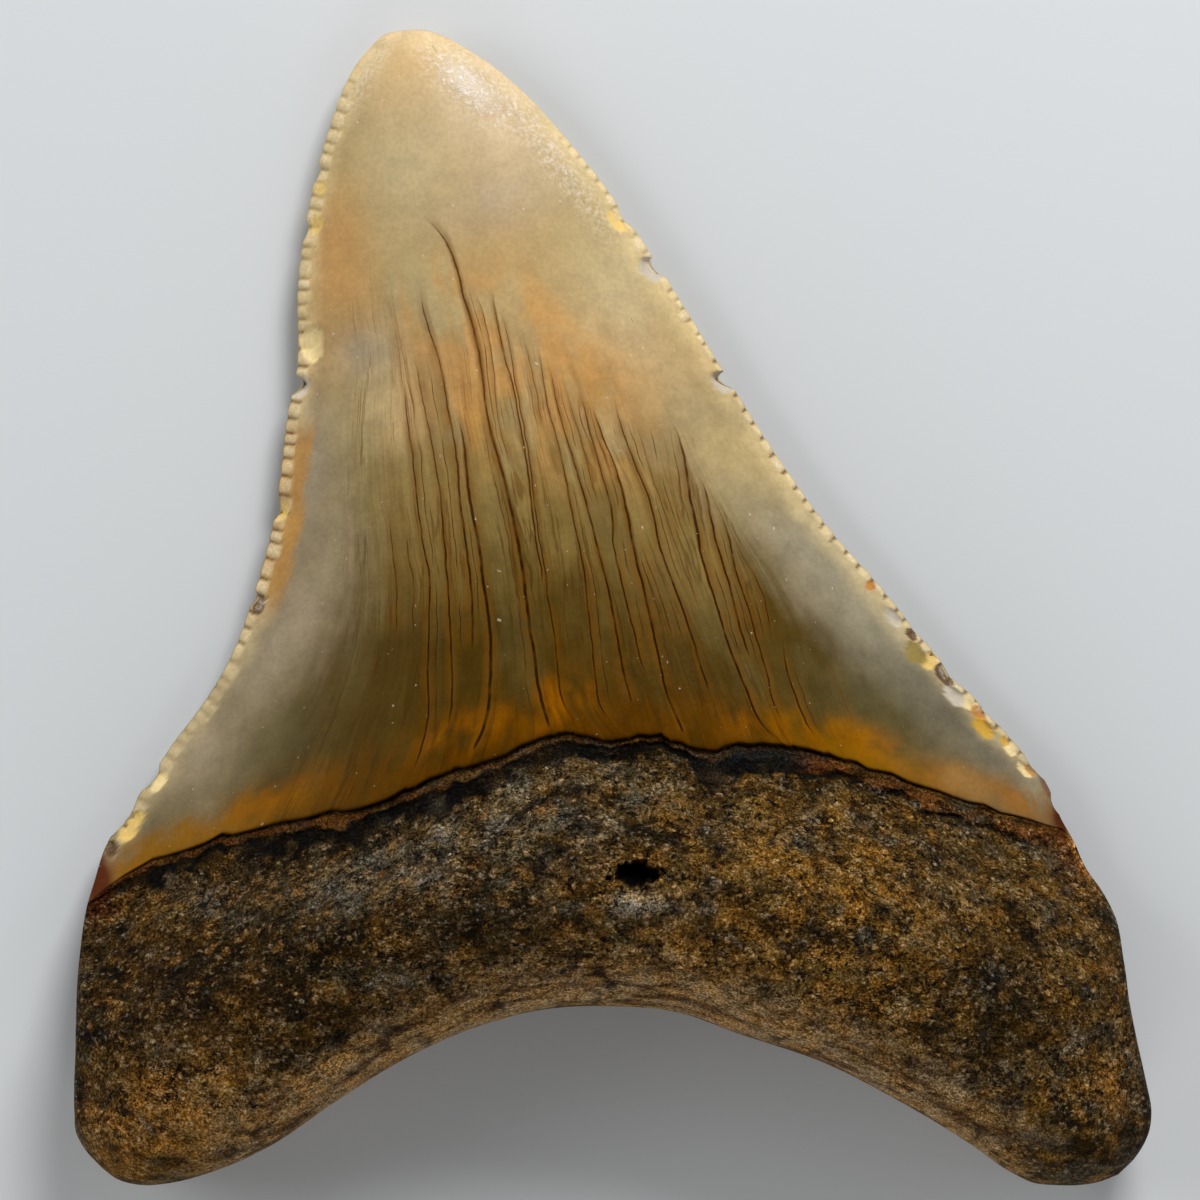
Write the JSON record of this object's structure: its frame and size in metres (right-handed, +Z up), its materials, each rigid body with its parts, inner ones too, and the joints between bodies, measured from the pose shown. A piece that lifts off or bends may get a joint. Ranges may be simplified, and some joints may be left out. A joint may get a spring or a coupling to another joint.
{
  "type": "fossil megalodon tooth",
  "caption": "Fossil shark tooth with a leaning triangular crown, saw-edged blades and a thick arched root, lying on its flatter outer face.",
  "frame": {"origin": "centre of the tooth's bounding box, on the surface that the tooth lies on", "axes": "+Z up, out of the bulging inner face; +Y from the root towards the tip; +X to the right as seen from above with the tip away from the viewer"},
  "size_m": [0.0815, 0.0877, 0.0193],
  "materials": {
    "root_bone": "rough fossil bone, dark brown with ochre and black grain",
    "crown_enamel": "worn glossy fossil enamel, tan to olive and amber with fine brown cracks"
  },
  "bodies": {
    "root": {"tooth": "root_bone"}
  },
  "joints": []
}
